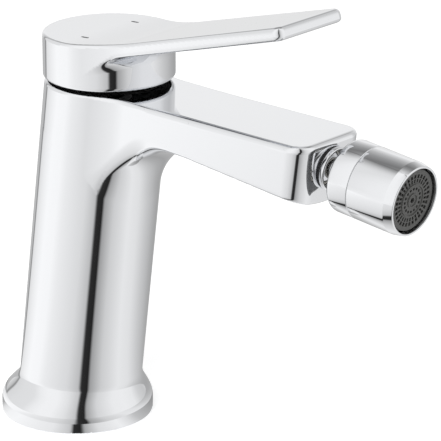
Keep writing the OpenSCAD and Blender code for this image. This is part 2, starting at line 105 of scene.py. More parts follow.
# Lever
AXIS_X = 16.4
CAP_R = 22.3
CAP_Z = 123.9
CAP_TOP = 139.5
CAP_TILT = math.radians(1.1)
CAP_LOWER_EDGE_R = 1.1
CAP_UPPER_EDGE_R = 1.0
NOSE_EDGE_R = 2.0
SKIRT_IN_R = 21.0
CAP_CEILING = 137.3
BOSS_R = 7.8
BOSS_Z = 128.4
LEVER_START = 12.6
LEVER_RISE = math.radians(14.75)
# Half the lever's width at the cap's axis, and how its flanks draw in
LEVER_HALF = 18.95
LEVER_TAPER = math.radians(1.7)
LEVER_REACH = 86.5
LEVER_T = 4.6
LEVER_EDGE_R = 1.6
LEVER_CORNER_R = 2.8
LEVER_BEND = 3.4
NECK_R = 60.0
NECK_UNDER_R = 4.5
PLUG_R = 2.05
PLUG_Z = 132.85
PLUG_HOLE_START = 12.0
MARK_X = 0.6
MARK_Y = 12.5
MARK_L = 3.2
MARK_W = 0.8
# Each layer of a mark from its root up: its share of the full size, and its height over the cap
MARK_LAYERS = ((1.0, -0.3), (1.0, 0.03), (0.85, 0.06))

# Swivel and aerator, along the outlet's axis from the spout's front face
OUTLET_Z = 124.1
BALL_X = 11.0
BALL_R = 7.0
BALL_FROM, BALL_TO = -54, 52
NIPPLE_R = 5.0
NIPPLE_BORE_R = 2.2
NIPPLE_DEPTH = 9.0
NECK_STEM_R = 4.0
NECK_FILLET_R = 0.5
FLANGE_R = 7.5
FLANGE_BACK, FLANGE_FRONT = 0.6, 2.4
FLANGE_BACK_EDGE_R, FLANGE_FRONT_EDGE_R = 0.4, 0.6
COLLAR_X = 7.1
COLLAR_MOUTH_R = 7.3
COLLAR_EDGE_R = 1.6
COLLAR_DULL_SHADE_DEPTH = 0.8
CUP_R = 8.05
CUP_ROOM_R = 10.45
CUP_STEP = 1.2
SEAM_X = 15.7
SEAM_GAP = 0.05
SEAM_EDGE_R = 0.25
SLEEVE_R = 12.3
SPIGOT_R = 10.4
SPIGOT_L = 1.8
SLEEVE_BORE_R = 6.8
SHOULDER_X = 3.6
SHOULDER_R = 1.5
SLEEVE_TAPER = 15
AERATOR_X = 34.0
INSERT_R = 10.7
INSERT_GAP = 0.25
INSERT_SEAT = 3.5
RIM_R = 0.65
RIM_EDGE_R, RIM_INNER_EDGE_R = 0.35, 0.2

# Meshing: the box of each skin, its cell, and the steps that pull a vertex on to the skin
BODY_BOX = (-28, -28, -1.5), (118, 28, 125)
BODY_CELL = 0.8
LEVER_BOX = (-8, -24, 122), (106, 24, 163)
LEVER_CELL = 0.6
PULLS = 12
LEAST_SLOPE = 0.05
# A corner is on the skin if it is this near and its face turns less than this from the skin
ON_SKIN = 0.05
MOST_TURN = math.radians(50)
# Edges of turned pieces that are sharper than this stay crisp
CRISP = math.radians(32)


def linear(hex_colour):
    """sRGB hex to the linear colour that a shader socket takes."""
    channels = [int(hex_colour[i : i + 2], 16) / 255 for i in (1, 3, 5)]
    return [c / 12.92 if c <= 0.04045 else ((c + 0.055) / 1.055) ** 2.4 for c in channels] + [1.0]


def add_node(tree, kind, settings=None, values=None, links=None, greys=None):
    """One shader node: its settings, socket values, incoming links and, on a ramp, grey stops."""
    node = tree.nodes.new(kind)
    if greys:
        first, last = node.color_ramp.elements
        first.position, last.position = greys[0][0], greys[-1][0]
        first.color, last.color = [[grey, grey, grey, 1] for _, grey in (greys[0], greys[-1])]
        for position, grey in greys[1:-1]:
            node.color_ramp.elements.new(position).color = (grey, grey, grey, 1)
    for key, value in (settings or {}).items():
        setattr(node, key, value)
    for key, value in (values or {}).items():
        node.inputs[key].default_value = value
    for key, source in (links or {}).items():
        tree.links.new(source, node.inputs[key])
    return node


def put_in_scene(name, data):
    """A new object of this mesh, lamp or camera."""
    piece = bpy.data.objects.new(name, data)
    bpy.context.collection.objects.link(piece)
    return piece


# Smooth skins


def between(a, b, share):
    """The value that lies a share of the way from a to b."""
    return a + (b - a) * share


def joined(a, b, r):
    """Union of two distance fields with a hollow fillet of radius r."""
    hollow = np.hypot(np.maximum(r - a, 0), np.maximum(r - b, 0))
    return np.maximum(r, np.minimum(a, b)) - hollow


def trimmed(a, b, r):
    """Overlap of two distance fields with the edge rounded to radius r."""
    edge = np.hypot(np.maximum(r + a, 0), np.maximum(r + b, 0))
    return np.minimum(-r, np.maximum(a, b)) + edge


def flank_with_blend(x, y, half, disc_r, blend_r):
    """Plan of a disc about the axis with flanks at y = +-half that leave it in hollow blends."""
    centre_y = half + blend_r
    centre_x = math.sqrt((disc_r + blend_r) ** 2 - centre_y**2)
    in_blend = blend_r - np.hypot(x - centre_x, np.abs(y) - centre_y)
    past_blend = np.where(x < centre_x, in_blend, np.abs(y) - half)
    return np.where(np.abs(y) * centre_x > x * centre_y, np.hypot(x, y) - disc_r, past_blend)


def leaning(x, z):
    """A point's place along the spout and along the column."""
    return x * math.cos(LEAN) - z * math.sin(LEAN), x * math.sin(LEAN) + z * math.cos(LEAN)


def leaning_out(x, z):
    """A point's distance from the spout's front face along the outlet's axis."""
    return leaning(x, z)[0] - SPOUT_REACH


def foot_skin(x, y, z):
    """The flanged foot: a wide shoulder above and a small rounding at the deck."""
    r = np.hypot(x, y)
    shoulder = (r - FOOT_R + FOOT_SHOULDER_R, z - FOOT_EDGE_H)
    bottom = (r - FOOT_R + FOOT_BOTTOM_R, FOOT_BOTTOM_R - z)
    rounded = []
    for (across, along), edge_r in ((shoulder, FOOT_SHOULDER_R), (bottom, FOOT_BOTTOM_R)):
        outside = np.hypot(np.maximum(across, 0), np.maximum(along, 0))
        rounded.append(outside + np.minimum(np.maximum(across, along), 0) - edge_r)
    return np.maximum(*rounded)


def body_skin(x, y, z):
    """The casting: leaning column, spout with its blends, flat top and foot."""
    along, up = leaning(x, z)
    column = np.hypot(along, y) - COLUMN_R
    crown_r = (SPOUT_HALF**2 + CROWN_RISE**2) / (2 * CROWN_RISE)
    crown = crown_r - np.sqrt(np.maximum(crown_r**2 - y**2, 1))
    # The underside is flat at the column and crowned further out
    grown = np.clip((along - CROWN_STARTS) / (CROWN_FULL - CROWN_STARTS), 0, 1)
    crown = crown * grown**2 * (3 - 2 * grown)
    # The blend under the spout is wide in the middle and tighter towards the flanks
    beside = np.minimum(np.abs(y) / SPOUT_HALF, 1) ** 2
    under_blend_r = between(UNDER_BLEND_R, UNDER_BLEND_SIDE_R, beside)
    slab = joined(column, UNDER_Z + crown - up, under_blend_r)
    flanks = flank_with_blend(along, y, SPOUT_HALF, COLUMN_R, SIDE_BLEND_R)
    outline = trimmed(flanks, along - SPOUT_REACH, SPOUT_CORNER_R)
    # The spout's lower edge is crisp at its end and softer just before it runs into the column
    softness = np.exp(-(((along - SOFT_EDGE_AT) / SOFT_EDGE_SPAN) ** 2))
    lower_edge_r = between(SPOUT_EDGE_R, SOFT_EDGE_R, softness)
    upright = np.minimum(column, trimmed(slab, outline, lower_edge_r))
    top = (z - TOP_Z) * math.cos(TOP_SLOPE) + x * math.sin(TOP_SLOPE)
    # The top edge is tight round the cap and softer along the spout
    softening = np.clip((along - COLUMN_R) / COLUMN_R, 0, 1)
    top_edge_r = between(TOP_EDGE_R, SPOUT_TOP_EDGE_R, softening)
    casting = np.maximum(trimmed(upright, top, top_edge_r), FOOT_EDGE_H - z)
    return joined(casting, foot_skin(x, y, z), FOOT_FILLET_R)


def lever_skin(x, y, z):
    """The cap and the blade that rises from it."""
    across = x - AXIS_X
    cap_side = np.hypot(across, y) - CAP_R
    cap_top = (z - CAP_TOP) * math.cos(CAP_TILT) - across * math.sin(CAP_TILT)
    # The blade in its rising frame, whose zero is where its top leaves the cap's top
    ahead = across - LEVER_START
    above = z - CAP_TOP - LEVER_START * math.tan(CAP_TILT)
    run = ahead * math.cos(LEVER_RISE) + above * math.sin(LEVER_RISE)
    lift = above * math.cos(LEVER_RISE) - ahead * math.sin(LEVER_RISE)
    # The two tops meet in a wide hollow bend
    bend = np.maximum(LEVER_BEND - np.abs(cap_top - lift), 0) ** 2 / (4 * LEVER_BEND)
    top = np.minimum(cap_top, lift) - bend
    length = (LEVER_REACH - LEVER_START) / math.cos(LEVER_RISE)
    along = across * math.cos(LEVER_TAPER) - np.abs(y) * math.sin(LEVER_TAPER)
    aside = across * math.sin(LEVER_TAPER) + np.abs(y) * math.cos(LEVER_TAPER)
    flanks = flank_with_blend(along, aside, LEVER_HALF * math.cos(LEVER_TAPER), CAP_R, NECK_R)
    outline = trimmed(flanks, run - length, LEVER_CORNER_R)
    solid = joined(cap_side, trimmed(outline, -LEVER_T - lift, LEVER_EDGE_R), NECK_UNDER_R)
    solid = np.minimum(cap_side, np.maximum(solid, outline))
    solid = trimmed(solid, CAP_Z - z, CAP_LOWER_EDGE_R)
    # The top edge is tight round the cap and softens towards the nose
    softening = np.clip((across - CAP_R) / (LEVER_REACH - CAP_R), 0, 1) ** 2
    return trimmed(solid, top, between(CAP_UPPER_EDGE_R, NOSE_EDGE_R, softening))


def slopes(skin, points, reach=0.002):
    """The skin's gradient at each point, by central differences."""
    columns = []
    for axis in range(3):
        shift = np.zeros(3)
        shift[axis] = reach
        ahead, behind = points + shift, points - shift
        columns.append((skin(*ahead.T) - skin(*behind.T)) / (2 * reach))
    return np.stack(columns, 1)


def skin_object(name, skin, box, cell_size):
    """A mesh of the surface where the skin is zero.

    It has one vertex in each cell that the surface crosses, pulled on to the surface, and one face
    for each edge between cells that the surface cuts.
    """
    axes = [np.arange(low, high + cell_size, cell_size) for low, high in zip(*box)]
    field = skin(*np.meshgrid(*axes, indexing="ij"))
    inside = field < 0
    shape = np.array(field.shape) - 1
    count = np.zeros(tuple(shape), dtype=np.int8)
    for i, j, k in np.ndindex(2, 2, 2):
        count += inside[i : i + shape[0], j : j + shape[1], k : k + shape[2]]
    crossed = (count > 0) & (count < 8)
    index = np.full(tuple(shape), -1)
    index[crossed] = np.arange(crossed.sum())
    cells = np.argwhere(crossed)
    points = np.stack([axes[a][cells[:, a]] for a in range(3)], 1) + cell_size / 2
    for _ in range(PULLS):
        gradient = slopes(skin, points)
        size = np.maximum((gradient**2).sum(1, keepdims=True), LEAST_SLOPE)
        pull = skin(*points.T)[:, None] * gradient / size
        points = points - np.clip(pull, -cell_size / 2, cell_size / 2)
    faces = []
    for axis in range(3):
        u, v = (axis + 1) % 3, (axis + 2) % 3
        ahead = [slice(None)] * 3
        ahead[axis] = slice(1, None)
        behind = [slice(None)] * 3
        behind[axis] = slice(None, -1)
        change = inside[tuple(behind)] != inside[tuple(ahead)]
        for edge in np.argwhere(change):
            if edge[u] == 0 or edge[v] == 0 or edge[u] > shape[u] - 1 or edge[v] > shape[v] - 1:
                continue
            ring = []
            for du, dv in ((-1, -1), (0, -1), (0, 0), (-1, 0)):
                cell = edge.copy()
                cell[u] += du
                cell[v] += dv
                ring.append(int(index[tuple(cell)]))
            faces.append(ring if inside[tuple(edge)] else ring[::-1])
    mesh = bpy.data.meshes.new(name)
    mesh.from_pydata((points * MM).tolist(), [], faces)
    mesh.validate()
    return put_in_scene(name, mesh)


def carve(piece, cutters):
    """Cuts the cutters out of a piece and deletes them."""
    for cutter in cutters:
        step = piece.modifiers.new("cut", "BOOLEAN")
        step.operation = "DIFFERENCE"
        step.solver = "EXACT"
        step.object = cutter
    bpy.context.view_layer.update()
    view = bpy.context.evaluated_depsgraph_get()
    mesh = bpy.data.meshes.new_from_object(piece.evaluated_get(view))
    piece.modifiers.clear()
    piece.data = mesh
    for cutter in cutters:
        bpy.data.objects.remove(cutter)


def polish(piece, skin):
    """Shades each corner that lies on the skin by the skin's slope, and keeps cut faces crisp."""
    mesh = piece.data
    spots = np.empty(len(mesh.vertices) * 3)
    mesh.vertices.foreach_get("co", spots)
    points = spots.reshape(-1, 3) / MM
    normal = slopes(skin, points)
    normal /= np.maximum(np.linalg.norm(normal, axis=1, keepdims=True), 1e-9)
    near = np.abs(skin(*points.T)) < ON_SKIN
    face_of = np.empty(len(mesh.loops), dtype=int)
    for polygon in mesh.polygons:
        polygon.use_smooth = True
        face_of[polygon.loop_start : polygon.loop_start + polygon.loop_total] = polygon.index
    flat = np.array([polygon.normal for polygon in mesh.polygons])[face_of]
    vertex_of = np.empty(len(mesh.loops), dtype=int)
    mesh.loops.foreach_get("vertex_index", vertex_of)
    smooth = normal[vertex_of]
    on_skin = near[vertex_of] & ((smooth * flat).sum(1) > math.cos(MOST_TURN))
    mesh.normals_split_custom_set(np.where(on_skin[:, None], smooth, flat).tolist())


# Turned pieces


def arc(r, z, radius, start, end, steps=10):
    """Points of a profile's rounded corner, angles in degrees from outwards to upwards."""
    angles = [math.radians(between(start, end, i / steps)) for i in range(steps + 1)]
    return [(r + radius * math.cos(a), z + radius * math.sin(a)) for a in angles]


def well(r, low, high):
    """Profile of a plain round cutter."""
    return [(0, low), (r, low), (r, high), (0, high)]


def lathe(name, profile, place, segments=144):
    """A closed piece turned from its profile of (radius, height), set in place by a matrix."""
    mesh = bpy.data.meshes.new(name)
    form = bmesh.new()
    rings = []
    for r, z in profile:
        count = segments if r > 1e-6 else 1
        turns = [2 * math.pi * i / count for i in range(count)]
        spots = [(r * math.cos(t) * MM, r * math.sin(t) * MM, z * MM) for t in turns]
        rings.append([form.verts.new(spot) for spot in spots])
    for lower, upper in zip(rings, rings[1:] + rings[:1]):
        if len(lower) == 1 and len(upper) == 1:
            continue
        for i in range(segments):
            j = (i + 1) % segments
            ring = [lower[i % len(lower)], lower[j % len(lower)]]
            ring += [upper[j % len(upper)], upper[i % len(upper)]]
            form.faces.new(list(dict.fromkeys(ring)))
    bmesh.ops.recalc_face_normals(form, faces=form.faces)
    form.to_mesh(mesh)
    form.free()
    for polygon in mesh.polygons:
        polygon.use_smooth = True
    mesh.set_sharp_from_angle(angle=CRISP)
    mesh.transform(place)
    return put_in_scene(name, mesh)


def upright_at(x, y=0.0):
    """Place of a piece whose axis stands upright at x, y."""
    return Matrix.Translation((x * MM, y * MM, 0))


# The outlet's axis leaves the spout's front face square to it
front = Matrix.Translation((SPOUT_REACH * MM, 0, OUTLET_Z * MM))
outlet = Matrix.Rotation(LEAN, 4, "Y") @ front @ Matrix.Rotation(math.pi / 2, 4, "Y")


# Materials


def new_material(name):
    """A material with its node tree and its main shader."""
    material = bpy.data.materials.new(name)
    material.use_nodes = True
    tree = material.node_tree
    return material, tree, tree.nodes["Principled BSDF"]


def chrome_plate():
    """Bright nickel-chrome plate on polished brass: a mirror with faint waves and wipe marks."""
    material, tree, shader = new_material("chrome_plate")
    place = add_node(tree, "ShaderNodeTexCoord").outputs["Object"]
    shader.inputs["Base Color"].default_value = linear("#ebecee")
    shader.inputs["Metallic"].default_value = 1.0
    # Wipe marks about 30 mm long, which dull the mirror a little
    wipes = add_node(
        tree,
        "ShaderNodeTexNoise",
        values={"Scale": 1 / (30 * MM), "Detail": 3.0, "Roughness": 0.5},
        links={"Vector": place},
    )
    gloss = add_node(
        tree,
        "ShaderNodeMapRange",
        values={"From Min": 0.3, "From Max": 0.7, "To Min": 0.025, "To Max": 0.06},
        links={"Value": wipes.outputs["Fac"]},
    )
    tree.links.new(gloss.outputs["Result"], shader.inputs["Roughness"])
    # Buffing leaves very low waves about 14 mm long
    waves = add_node(
        tree,
        "ShaderNodeTexNoise",
        values={"Scale": 1 / (14 * MM), "Detail": 1.0},
        links={"Vector": place},
    )
    bump = add_node(
        tree,
        "ShaderNodeBump",
        values={"Strength": 0.02, "Distance": 0.02 * MM},
        links={"Height": waves.outputs["Fac"]},
    )
    tree.links.new(bump.outputs["Normal"], shader.inputs["Normal"])
    return material


def grained(name, colour, roughness, grain_mm, bump_mm, metallic=0.0, contrast=0.12):
    """A moulded, sintered or machined surface: one colour that varies a little, with fine grain."""
    material, tree, shader = new_material(name)
    place = add_node(tree, "ShaderNodeTexCoord").outputs["Object"]
    base = linear(colour)
    grain = add_node(
        tree,
        "ShaderNodeTexNoise",
        values={"Scale": 1 / (grain_mm * MM), "Detail": 4.0},
        links={"Vector": place},
    )
    ramp = add_node(tree, "ShaderNodeValToRGB", links={"Fac": grain.outputs["Fac"]})
    for stop, share in zip(ramp.color_ramp.elements, (1 - contrast, 1 + contrast)):
        stop.color = [min(1, c * share) for c in base[:3]] + [1]
    tree.links.new(ramp.outputs["Color"], shader.inputs["Base Color"])
    shader.inputs["Metallic"].default_value = metallic
    shader.inputs["Roughness"].default_value = roughness
    bump = add_node(
        tree,
        "ShaderNodeBump",
        values={"Strength": 0.3, "Distance": bump_mm * MM},
        links={"Height": grain.outputs["Fac"]},
    )
    tree.links.new(bump.outputs["Normal"], shader.inputs["Normal"])
    return material


# Chrome plate where no buffing wheel reaches: dull, and painted dark grey as shade in the recesses
# and cut faces that it covers
dull_shaded_plate = grained("unpolished_shaded_plate", "#909192", 0.55, 0.7, 0.02, metallic=1.0)
finishes = {
    "chrome": chrome_plate(),
    # EPDM rubber, pressed: matt and nearly black
    "rubber": grained("epdm_rubber", "#2a2a2b", 0.75, 0.8, 0.02),
    # Black acetal, moulded: a slight sheen
    "black_plastic": grained("black_acetal", "#161617", 0.42, 0.6, 0.01),
    # Alumina, lapped: pale and very smooth
    "ceramic": grained("lapped_alumina", "#e9e5dc", 0.18, 1.5, 0.002, contrast=0.04),
    # Polyamide, moulded: ivory with a soft sheen
    "nylon": grained("polyamide", "#d9d6cc", 0.45, 0.9, 0.01, contrast=0.06),
    # Brass, turned and left bare: warm yellow with a broad shine
    "brass": grained("turned_brass", "#c9a45c", 0.3, 0.5, 0.004, metallic=1.0),
    # Stainless steel, turned: neutral grey with a broad shine
    "steel": grained("turned_stainless", "#b9babb", 0.28, 0.5, 0.004, metallic=1.0),
    # Dark grey acetal of the aerator, moulded: satin
    "grey_plastic": grained("dark_grey_acetal", "#5a5a58", 0.4, 0.5, 0.008),
    # Paint filled into the marks: dark grey and flat
    "mark_ink": grained("mark_paint", "#3f4043", 0.55, 0.4, 0.005),
    # Polypropylene of the flow regulator, moulded: clear blue with a soft sheen
    "blue_plastic": grained("blue_polypropylene", "#3f6f9f", 0.4, 0.8, 0.008),
}
slot_of = {part["node"]: part["material_slot"] for part in frame["record"]["subparts"]}
for node_name, node_object in nodes.items():
    node_object.data.materials.clear()
    node_object.data.materials.append(finishes[slot_of[node_name]])


def dress(piece, body, slot, *stands_for):
    """Gives a new piece its finish and its body, and hides the nodes that it stands for."""
    piece.data.materials.clear()
    piece.data.materials.append(finishes[slot])
    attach(piece, body)
    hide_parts(*stands_for)


def dull_and_shade_inside(piece, depth):
    """Leaves the plate unpolished and painted dark as shade on the faces whose middle lies at a
    depth below zero.
    """
    mesh = piece.data
    mesh.materials.append(dull_shaded_plate)
    middles = np.array([polygon.center for polygon in mesh.polygons]) / MM
    mesh.polygons.foreach_set("material_index", (depth(*middles.T) < 0).astype(np.int32))


# Body casting
body = skin_object("body_casting", body_skin, BODY_BOX, BODY_CELL)
pocket = well(POCKET_R, POCKET_FLOOR, TOP_Z + CLEAR)
nut_room = well(NUT_ROOM_R, NUT_ROOM_FLOOR, POCKET_FLOOR + CLEAR)
cartridge_room = well(CARTRIDGE_ROOM_R, CARTRIDGE_ROOM_FLOOR, POCKET_FLOOR + CLEAR)
inlet = well(INLET_R, -CLEAR, INLET_TOP)
groove = [
    (GROOVE_IN_R, -CLEAR),
    (GROOVE_OUT_R, -CLEAR),
    (GROOVE_OUT_R, GROOVE_TOP),
    (GROOVE_IN_R, GROOVE_TOP),
]
carve(
    body,
    [
        lathe("pocket", pocket, upright_at(TOP_Z * math.tan(LEAN))),
        lathe("nut_room", nut_room, upright_at(AXIS_X)),
        lathe("cartridge_room", cartridge_room, upright_at(AXIS_X)),
        lathe("stud_hole", well(STUD_HOLE_R, -CLEAR, STUD_HOLE_TOP), upright_at(0)),
        lathe("hot_inlet", inlet, upright_at(0, INLET_Y)),
        lathe("cold_inlet", inlet, upright_at(0, -INLET_Y)),
        lathe("gasket_groove", groove, upright_at(0)),
        lathe("nipple_hole", well(NIPPLE_HOLE_R, -NIPPLE_HOLE_DEPTH, CLEAR), outlet),
    ],
)
polish(body, body_skin)
dress(body, "mixer_body", "chrome", "body")
# Cut faces in the body's rooms and bores: dull plate with painted shade
dull_and_shade_inside(body, lambda x, y, z: body_skin(x, y, z) + CUT_DEPTH)

# Lever handle
lever = skin_object("paddle_lever", lever_skin, LEVER_BOX, LEVER_CELL)
cap_hollow = [
    (0, CAP_Z - CLEAR),
    (SKIRT_IN_R, CAP_Z - CLEAR),
    (SKIRT_IN_R, CAP_CEILING),
    (BOSS_R, CAP_CEILING),
    (BOSS_R, BOSS_Z),
    (0, BOSS_Z),
]
plug_hole = well(PLUG_R, 0, CAP_R + CLEAR - PLUG_HOLE_START)
plug_place = Matrix.Translation(((AXIS_X - PLUG_HOLE_START) * MM, 0, PLUG_Z * MM))
backwards = plug_place @ Matrix.Rotation(-math.pi / 2, 4, "Y")
carve(
    lever,
    [
        lathe("cap_hollow", cap_hollow, upright_at(AXIS_X)),
        lathe("plug_hole", plug_hole, backwards, 48),
    ],
)
polish(lever, lever_skin)
dress(lever, "lever", "chrome", "lever_handle")
# Cut faces in the cap's hollow and plug hole: dull plate with painted shade
dull_and_shade_inside(lever, lambda x, y, z: lever_skin(x, y, z) + CUT_DEPTH)

# Swivel: nipple with its flange and ball, collar, and sleeve
nipple_profile = (
    [(NIPPLE_BORE_R, -NIPPLE_DEPTH), (NIPPLE_R, -NIPPLE_DEPTH), (NIPPLE_R, FLANGE_BACK)]
    + arc(
        FLANGE_R - FLANGE_BACK_EDGE_R,
        FLANGE_BACK + FLANGE_BACK_EDGE_R,
        FLANGE_BACK_EDGE_R,
        -90,
        0,
        4,
    )
    + arc(
        FLANGE_R - FLANGE_FRONT_EDGE_R,
        FLANGE_FRONT - FLANGE_FRONT_EDGE_R,
        FLANGE_FRONT_EDGE_R,
        0,
        90,
        6,
    )
    + arc(NECK_STEM_R + NECK_FILLET_R, FLANGE_FRONT + NECK_FILLET_R, NECK_FILLET_R, 270, 180, 5)
    + [(NECK_STEM_R, BALL_X - math.sqrt(BALL_R**2 - NECK_STEM_R**2))]
    + arc(0, BALL_X, BALL_R, BALL_FROM, BALL_TO, 40)
    + [(NIPPLE_BORE_R, BALL_X + BALL_R * math.sin(math.radians(BALL_TO)))]
)
dress(lathe("ball_nipple", nipple_profile, outlet), "mixer_body", "chrome", "outlet_nipple")
collar_profile = (
    [(COLLAR_MOUTH_R, COLLAR_X)]
    + arc(SLEEVE_R - COLLAR_EDGE_R, COLLAR_X + COLLAR_EDGE_R, COLLAR_EDGE_R, -90, 0)
    + arc(SLEEVE_R - SEAM_EDGE_R, SEAM_X - SEAM_EDGE_R, SEAM_EDGE_R, 0, 90, 4)
    + [(CUP_ROOM_R, SEAM_X), (CUP_ROOM_R, BALL_X + CUP_STEP)]
    + [(CUP_R, BALL_X + CUP_STEP), (CUP_R, BALL_X)]
)
collar = lathe("swivel_collar_ring", collar_profile, outlet)
dress(collar, "aerator", "chrome", "swivel_collar")
# The collar's back and bore, which face the spout, get the dull plate with painted shade
dull_and_shade_inside(collar, lambda x, y, z: leaning_out(x, z) - COLLAR_X - COLLAR_DULL_SHADE_DEPTH)
sleeve_profile = (
    [(SLEEVE_BORE_R, SEAM_X - SPIGOT_L), (SPIGOT_R, SEAM_X - SPIGOT_L)]
    + [(SPIGOT_R, SEAM_X + SEAM_GAP)]
    + arc(SLEEVE_R - SEAM_EDGE_R, SEAM_X + SEAM_GAP + SEAM_EDGE_R, SEAM_EDGE_R, -90, 0, 4)
    + arc(SLEEVE_R - SHOULDER_R, AERATOR_X - SHOULDER_X, SHOULDER_R, 0, SLEEVE_TAPER, 5)
    + arc(INSERT_R + RIM_R, AERATOR_X - RIM_EDGE_R, RIM_EDGE_R, SLEEVE_TAPER, 90, 6)
    + arc(
        INSERT_R + INSERT_GAP + RIM_INNER_EDGE_R,
        AERATOR_X - RIM_INNER_EDGE_R,
        RIM_INNER_EDGE_R,
        90,
        180,
        4,
    )
    + [(INSERT_R + INSERT_GAP, SEAM_X + INSERT_SEAT), (SLEEVE_BORE_R, SEAM_X + INSERT_SEAT)]
)
dress(lathe("aerator_tube", sleeve_profile, outlet), "aerator", "chrome", "aerator_sleeve")


def mark_bar(name, side):
    """A hot or cold mark: a short bar with round ends, a hair proud of the cap."""
    end_r = MARK_W / 2
    half = MARK_L / 2 - end_r
    turns = np.linspace(-math.pi / 2, math.pi / 2, 9)
    rim = [(half + end_r * math.cos(a), end_r * math.sin(a)) for a in turns]
    rim += [(-x, -y) for x, y in rim]
    layers = []
    form = bmesh.new()
    for share, height in MARK_LAYERS:
        layer = []
        for x, y in rim:
            spot = [AXIS_X + MARK_X + x * share, side * MARK_Y + y * share, CAP_TOP]
            # A few steps down on to the cap's top
            for _ in range(6):
                spot[2] -= float(lever_skin(*spot))
            layer.append(form.verts.new((spot[0] * MM, spot[1] * MM, (spot[2] + height) * MM)))
        layers.append(layer)
    for lower, upper in zip(layers, layers[1:]):
        for i in range(len(rim)):
            j = (i + 1) % len(rim)
            form.faces.new((lower[i], lower[j], upper[j], upper[i]))
    form.faces.new(layers[-1])
    form.faces.new(layers[0][::-1])
    bmesh.ops.recalc_face_normals(form, faces=form.faces)
    bar = bpy.data.meshes.new(name)
    form.to_mesh(bar)
    form.free()
    return put_in_scene(name, bar)


dress(mark_bar("hot_dash", 1), "lever", "mark_ink", "hot_mark")
dress(mark_bar("cold_dash", -1), "lever", "mark_ink", "cold_mark")


# Stage: pale floor, lamps, and the white room, with painted reflections of panels and gaps that
# show only in the chrome
CAMERA_AZ = -49.7
FLOOR_HALF = 4.0
FLOOR_DROP = 0.0002
FLOOR_GLOW = 0.55
ROOM_LIGHT = 0.45
# Rings of painted reflection on the floor from the foot outwards, and how far the middle one is
# turned
SHADOW_IN_R = 0.0268
SHADOW_OUT_R = 0.036
NEAR_OUT_R = 0.392
MIDDLE_OUT_R = 0.6
FAR_OUT_R = 6.0
MIDDLE_TURN = 2.0


def by_direction(*shades):
    """Ramp stops from degrees to the right of the camera's side."""
    return [(angle / 360 + 0.5, grey) for angle, grey in shades]


# Painted reflection of the floor round the object, as the chrome shows it: grey behind, bright
# beside, and a dark gap between the panels on the camera's side
PAINTED_FLOOR_SHADES = by_direction(
    (-180, 0.52), (-145, 0.55), (-140, 0.17), (-136, 0.85), (-118, 1.0), (-100, 1.12),
    (-75, 1.1), (-60, 0.99), (-20, 0.82), (-2, 0.6), (2, 0.03), (11.5, 0.02), (15, 0.4),
    (32, 0.72), (60, 0.94), (80, 0.88), (102, 0.68), (131, 0.48), (150, 0.4), (180, 0.52),
)
# Painted reflection of panels round the object, with the same gap
PAINTED_PANEL_SHADES = by_direction(
    (-180, 0.83), (-155, 0.8), (-145, 0.62), (-140, 0.25), (-136, 0.8), (-118, 0.86),
    (-90, 0.88), (-75, 1.0), (-60, 1.05), (-40, 1.04), (-20, 0.9), (-2, 0.66), (2, 0.03),
    (11.5, 0.02), (15, 0.42), (32, 0.78), (60, 0.98), (80, 1.0), (100, 0.95), (115, 0.74),
    (131, 0.65), (155, 0.8), (180, 0.83),
)
# The strip of floor next to the foot, with a painted shadow beside and behind it that shows only in
# the chrome
PAINTED_SHADOW_SHADES = by_direction(
    (-180, 0.4), (-112, 0.34), (-98, 0.45), (-88, 0.85), (-75, 1.05), (-60, 1.1),
    (-20, 0.95), (-4.5, 0.66), (-1.5, 0.03), (5, 0.02), (8, 0.45), (20, 0.85), (40, 1.02),
    (52, 0.85), (62, 0.62), (76, 0.5), (90, 0.4), (108, 0.3), (180, 0.4),
)
# Painted reflection of a backdrop behind the object: where it hangs from its top edge to the pale
# horizon, where it hangs from side to side, and its greys from the top edge down
PAINTED_BACKDROP_PLACE = [(0.03, 0), (0.3, 0.75), (0.45, 1)]
PAINTED_BACKDROP_SIDES = [(0.18, 0), (0.33, 1), (0.66, 1), (0.74, 0)]
PAINTED_BACKDROP_SHADES = [
    (0.2, 0.14), (0.45, 0.22), (0.65, 0.36), (0.8, 0.55), (0.9, 0.78), (0.95, 0.98), (1.0, 0.85),
]


def seen_by_eye(tree):
    """One for a ray from the eye, a mirror or clear stuff, and zero for a ray that only lights."""
    path = add_node(tree, "ShaderNodeLightPath")
    seen = path.outputs["Is Camera Ray"]
    for ray in ("Is Glossy Ray", "Is Transmission Ray"):
        seen = add_node(
            tree,
            "ShaderNodeMath",
            {"operation": "ADD", "use_clamp": True},
            links={0: seen, 1: path.outputs[ray]},
        ).outputs[0]
    return seen


def painted_floor_ring(name, inner, outer, shades, turned=0.0):
    """A glowing ring on the floor whose painted greys only show in reflections."""
    segments = 96
    ring = []
    for r in (inner, outer):
        for i in range(segments):
            turn = 2 * math.pi * i / segments
            ring.append((r * math.cos(turn), r * math.sin(turn), 0))
    faces = []
    for i in range(segments):
        j = (i + 1) % segments
        faces.append((i, segments + i, segments + j, j))
    mesh = bpy.data.meshes.new(name)
    mesh.from_pydata(ring, [], faces)
    piece = put_in_scene(name, mesh)
    # The ramp starts and ends on the side away from the camera
    piece.rotation_euler.z = math.radians(CAMERA_AZ + turned)
    material, tree, _ = new_material(name)
    tree.nodes.clear()
    place = add_node(tree, "ShaderNodeTexCoord").outputs["Object"]
    turn = add_node(
        tree, "ShaderNodeTexGradient", {"gradient_type": "RADIAL"}, links={"Vector": place}
    )
    ramp = add_node(tree, "ShaderNodeValToRGB", links={"Fac": turn.outputs["Fac"]}, greys=shades)
    glow = add_node(tree, "ShaderNodeEmission", links={"Color": ramp.outputs["Color"]})
    add_node(tree, "ShaderNodeOutputMaterial", links={"Surface": glow.outputs["Emission"]})
    mesh.materials.append(material)
    piece.visible_camera = False
    piece.visible_diffuse = False
    piece.visible_shadow = False


